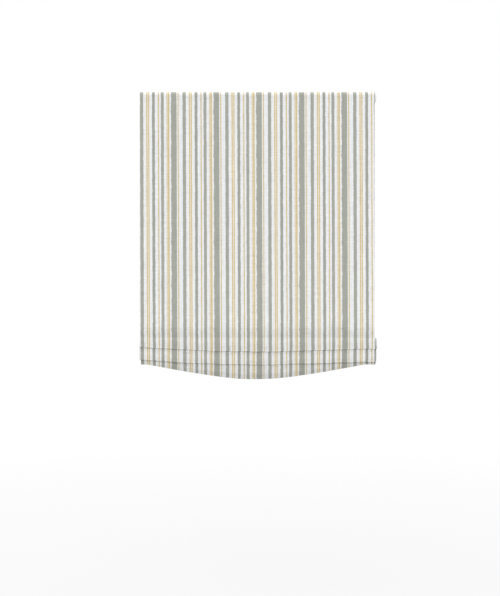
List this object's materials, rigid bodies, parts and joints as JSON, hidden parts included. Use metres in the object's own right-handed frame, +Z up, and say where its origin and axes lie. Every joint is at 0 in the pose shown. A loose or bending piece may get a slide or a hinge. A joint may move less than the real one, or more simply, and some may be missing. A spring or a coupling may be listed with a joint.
{
  "type": "roman blind",
  "caption": "Cordless relaxed roman blind of striped cloth for mounting inside a recess, with stacked soft folds, a curved hem and a spring lift in its head rail.",
  "frame": {"origin": "centre of the rectangle of bracket screw holes, on the top mounting plane", "axes": "+X across the blind to the viewer's right, +Y from its front to its back, +Z up out of the mounting plane"},
  "size_m": [0.914, 0.0602, 1.1105],
  "materials": {
    "striped_cloth": "soft white woven cloth with vertical grey and pale gold stripes",
    "lining_cloth": "plain white woven lining",
    "rail_aluminium": "satin, white coated",
    "white_plastic": "satin moulded",
    "grey_plastic": "satin moulded",
    "drum_plastic": "satin moulded",
    "clear_guide": "glossy moulded",
    "ring_plastic": "glossy moulded",
    "zinc_steel": "zinc plated",
    "spring_steel": "bright rolled band",
    "shaft_steel": "drawn bar",
    "bar_aluminium": "satin",
    "hook_tape": "stiff hook tape",
    "loop_tape": "soft loop tape",
    "lift_cord": "braided polyester"
  },
  "bodies": {
    "head": {"bracket_left": "zinc_steel", "bracket_right": "zinc_steel", "head_rail": "rail_aluminium", "end_cap_left": "white_plastic", "end_cap_right": "white_plastic", "hook_strip": "hook_tape", "loop_strip": "loop_tape", "motor_housing": "grey_plastic", "motor_cover": "grey_plastic", "spring_band": "spring_steel", "spool_cradle_left": "grey_plastic", "spool_cradle_right": "grey_plastic", "cord_guides": "clear_guide", "face_fabric": "striped_cloth", "lining": "lining_cloth", "lift_cord_left": "lift_cord", "lift_cord_right": "lift_cord"},
    "shaft": {"lift_shaft": "shaft_steel", "shaft_clips": "drum_plastic", "cord_spool_left": "drum_plastic", "cord_spool_right": "drum_plastic", "output_drum": "drum_plastic"},
    "storage": {"storage_drum": "drum_plastic"},
    "bottom": {"bottom_bar": "bar_aluminium", "bar_cap_left": "white_plastic", "bar_cap_right": "white_plastic", "bar_pocket": "lining_cloth", "cord_anchor_left": "white_plastic", "cord_anchor_right": "white_plastic", "ring_row_6": "ring_plastic", "ring_row_7": "ring_plastic"},
    "row_1": {"ring_row_1": "ring_plastic"},
    "row_2": {"ring_row_2": "ring_plastic"},
    "row_3": {"ring_row_3": "ring_plastic"},
    "row_4": {"ring_row_4": "ring_plastic"},
    "row_5": {"ring_row_5": "ring_plastic"}
  },
  "joints": [
    {"name": "lift", "type": "slide", "parent": "head", "child": "bottom", "axis": [0, 0, 1], "range_m": [0, 0.7482], "deforming": ["face_fabric", "lining", "lift_cord_left", "lift_cord_right"]},
    {"name": "shaft_turn", "type": "hinge", "parent": "head", "child": "shaft", "pos_m": [0, -0.0183, -0.0232], "axis": [-1, 0, 0], "range_deg": [0, 4291.9]},
    {"name": "storage_turn", "type": "hinge", "parent": "head", "child": "storage", "pos_m": [0, 0.0042, -0.0232], "axis": [1, 0, 0], "range_deg": [0, 5149.2]},
    {"name": "ring_lift_1", "type": "slide", "parent": "head", "child": "row_1", "axis": [0, 0, 1], "range_m": [0, 0.118]},
    {"name": "ring_lift_2", "type": "slide", "parent": "head", "child": "row_2", "axis": [0, 0, 1], "range_m": [0, 0.249]},
    {"name": "ring_lift_3", "type": "slide", "parent": "head", "child": "row_3", "axis": [0, 0, 1], "range_m": [0, 0.3801]},
    {"name": "ring_lift_4", "type": "slide", "parent": "head", "child": "row_4", "axis": [0, 0, 1], "range_m": [0, 0.5112]},
    {"name": "ring_lift_5", "type": "slide", "parent": "head", "child": "row_5", "axis": [0, 0, 1], "range_m": [0, 0.6422]}
  ],
  "couplings": [
    {"joint": "shaft_turn", "follows": "lift", "rad_per_m": 100},
    {"joint": "storage_turn", "follows": "lift", "rad_per_m": 120},
    {"joint": "ring_lift_1", "follows": "lift", "ratio": 0.15632},
    {"joint": "ring_lift_2", "follows": "lift", "ratio": 0.33149},
    {"joint": "ring_lift_3", "follows": "lift", "ratio": 0.50667},
    {"joint": "ring_lift_4", "follows": "lift", "ratio": 0.68184},
    {"joint": "ring_lift_5", "follows": "lift", "ratio": 0.85701}
  ]
}
